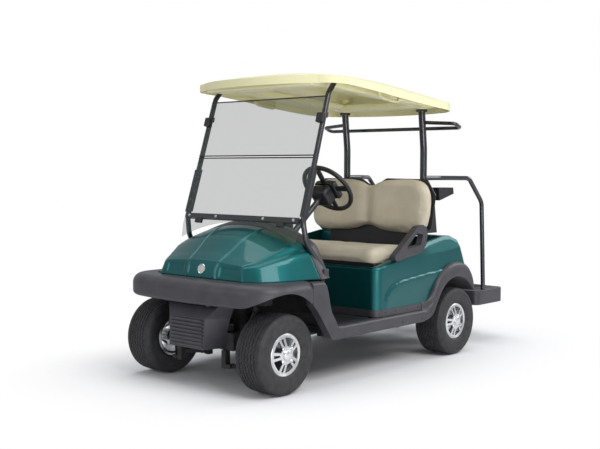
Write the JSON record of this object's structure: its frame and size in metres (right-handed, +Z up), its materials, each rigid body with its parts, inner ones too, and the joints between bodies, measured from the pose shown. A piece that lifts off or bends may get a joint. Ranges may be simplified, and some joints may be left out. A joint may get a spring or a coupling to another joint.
{
  "type": "golf cart",
  "caption": "Two-seat electric golf cart with roof, folding windshield, bench seat, bag well and rear step; wheels roll and steer, seat lid opens.",
  "frame": {"origin": "on the ground under the middle of the cart's length and width", "axes": "+X forward, +Y to the cart's left, +Z up"},
  "size_m": [2.78, 1.224, 1.8619],
  "materials": {
    "painted body": "gloss",
    "dark trim": "fine texture",
    "black steel": "gloss",
    "grip": "satin",
    "seat vinyl": "grained vinyl",
    "cream plastic": "satin",
    "black plastic": "satin",
    "mat rubber": "ribbed",
    "glazing": "clear",
    "cast motor": "satin",
    "tyre": "matt",
    "alloy": "machined"
  },
  "bodies": {
    "chassis": {"front_cowl": "painted body", "rear_body": "painted body", "front_bumper": "dark trim", "rear_flares": "dark trim", "armrests": "dark trim", "dash": "dark trim", "base_trim": "dark trim", "rockers": "dark trim", "front_apron": "dark trim", "bag_well": "dark trim", "rear_step": "dark trim", "floor_pan": "dark trim", "frame": "black steel", "front_suspension": "black steel", "rear_axle": "black steel", "rear_springs": "black steel", "front_struts": "black steel", "rear_posts": "black steel", "windshield_bar": "black steel", "overhead_bar": "black steel", "step_handle": "black steel", "steering_column": "black steel", "pedals": "black steel", "seat_back": "seat vinyl", "roof": "cream plastic", "seat_back_shell": "black plastic", "bag_rest": "black plastic", "batteries": "black plastic", "floor_mat": "mat rubber", "windshield": "glazing", "motor": "cast motor"},
    "knuckle_left": {"knuckle_left": "black steel"},
    "knuckle_right": {"knuckle_right": "black steel"},
    "wheel_front_left": {"tyre_front_left": "tyre", "rim_front_left": "alloy"},
    "wheel_front_right": {"tyre_front_right": "tyre", "rim_front_right": "alloy"},
    "wheel_rear_left": {"tyre_rear_left": "tyre", "rim_rear_left": "alloy"},
    "wheel_rear_right": {"tyre_rear_right": "tyre", "rim_rear_right": "alloy"},
    "steering_wheel": {"steering_wheel": "grip"},
    "steering_rack": {"steering_rack": "black steel"},
    "seat_lid": {"seat_cushion": "seat vinyl", "seat_pan": "black plastic"}
  },
  "joints": [
    {"name": "steer_left", "type": "hinge", "parent": "chassis", "child": "knuckle_left", "pos_m": [1.112, 0.345, 0.2285], "axis": [0, 0, 1], "range_deg": [-30, 30]},
    {"name": "steer_right", "type": "hinge", "parent": "chassis", "child": "knuckle_right", "pos_m": [1.112, -0.345, 0.2285], "axis": [0, 0, 1], "range_deg": [-30, 30]},
    {"name": "steering_wheel_turn", "type": "hinge", "parent": "chassis", "child": "steering_wheel", "pos_m": [0.406, 0.255, 1.136], "axis": [-0.7716, 0, 0.6361], "range_deg": [-270, 270]},
    {"name": "rack_slide", "type": "slide", "parent": "chassis", "child": "steering_rack", "axis": [0, 1, 0], "range_m": [-0.05, 0.05]},
    {"name": "roll_front_left", "type": "hinge", "parent": "knuckle_left", "child": "wheel_front_left", "pos_m": [1.112, 0.4665, 0.2285], "axis": [0, 1, 0], "continuous": true},
    {"name": "roll_front_right", "type": "hinge", "parent": "knuckle_right", "child": "wheel_front_right", "pos_m": [1.112, -0.4665, 0.2285], "axis": [0, 1, 0], "continuous": true},
    {"name": "roll_rear_left", "type": "hinge", "parent": "chassis", "child": "wheel_rear_left", "pos_m": [-0.563, 0.5005, 0.2285], "axis": [0, 1, 0], "continuous": true},
    {"name": "roll_rear_right", "type": "hinge", "parent": "chassis", "child": "wheel_rear_right", "pos_m": [-0.563, -0.5005, 0.2285], "axis": [0, 1, 0], "continuous": true},
    {"name": "seat_lid_hinge", "type": "hinge", "parent": "chassis", "child": "seat_lid", "pos_m": [-0.163, 0, 0.697], "axis": [0, -1, 0], "range_deg": [0, 60]}
  ],
  "couplings": [
    {"joint": "steer_right", "follows": "steer_left", "ratio": 1},
    {"joint": "steering_wheel_turn", "follows": "steer_left", "ratio": 9},
    {"joint": "rack_slide", "follows": "steer_left", "m_per_rad": -0.095}
  ]
}
